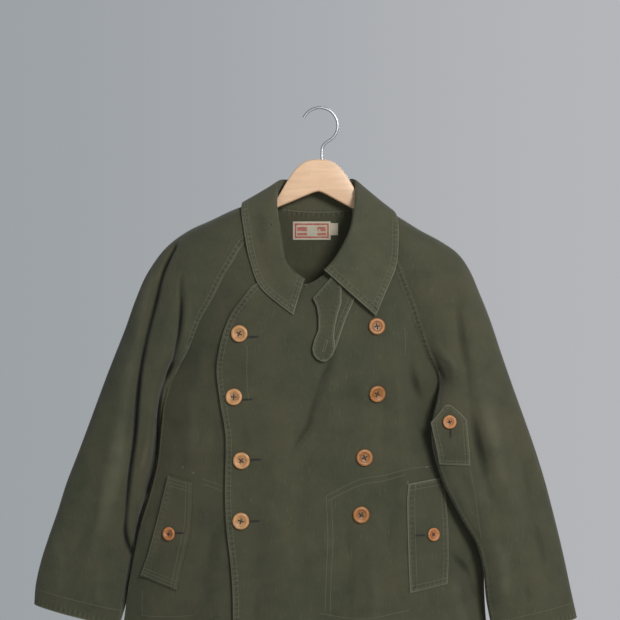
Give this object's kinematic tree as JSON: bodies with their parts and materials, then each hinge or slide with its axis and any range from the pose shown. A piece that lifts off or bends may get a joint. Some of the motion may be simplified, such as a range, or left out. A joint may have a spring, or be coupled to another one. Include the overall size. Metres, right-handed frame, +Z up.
{
  "type": "double-breasted canvas work jacket on a wooden hanger",
  "caption": "Olive canvas work jacket with raglan sleeves, a wide overlapping front, a large stitched collar and slanted buttoned pockets, hung on a wooden hanger with a wire hook.",
  "frame": {"origin": "the inside top of the hanger's hook, where it bears on a rail or peg", "axes": "+Z up along the hanging garment, +X to the viewer's right (the wearer's left), -Y the garment's front"},
  "size_m": [0.8195, 0.1093, 0.9169],
  "materials": {
    "canvas": "dry, matt, faded cotton canvas",
    "button": "satin, with four thread holes",
    "wood": "clear-lacquered pale wood",
    "steel": "bright drawn wire",
    "label": "woven, cream with red bands, no text",
    "size_tab": "woven, pale, no text"
  },
  "bodies": {
    "root": {"back": "canvas", "front_left": "canvas", "front_right": "canvas", "sleeve_left": "canvas", "sleeve_right": "canvas", "collar": "canvas", "throat_tab": "canvas", "throat_tab_underlay": "canvas", "pocket_flap_left": "canvas", "pocket_flap_right": "canvas", "sleeve_tab": "canvas", "neck_label": "label", "size_tab": "size_tab", "button_right_1": "button", "button_right_2": "button", "button_right_3": "button", "button_right_4": "button", "button_left_1": "button", "button_left_2": "button", "button_left_3": "button", "button_left_4": "button", "button_pocket_right": "button", "button_pocket_left": "button", "button_sleeve": "button", "hanger_wood": "wood", "hanger_hook": "steel"}
  },
  "joints": []
}
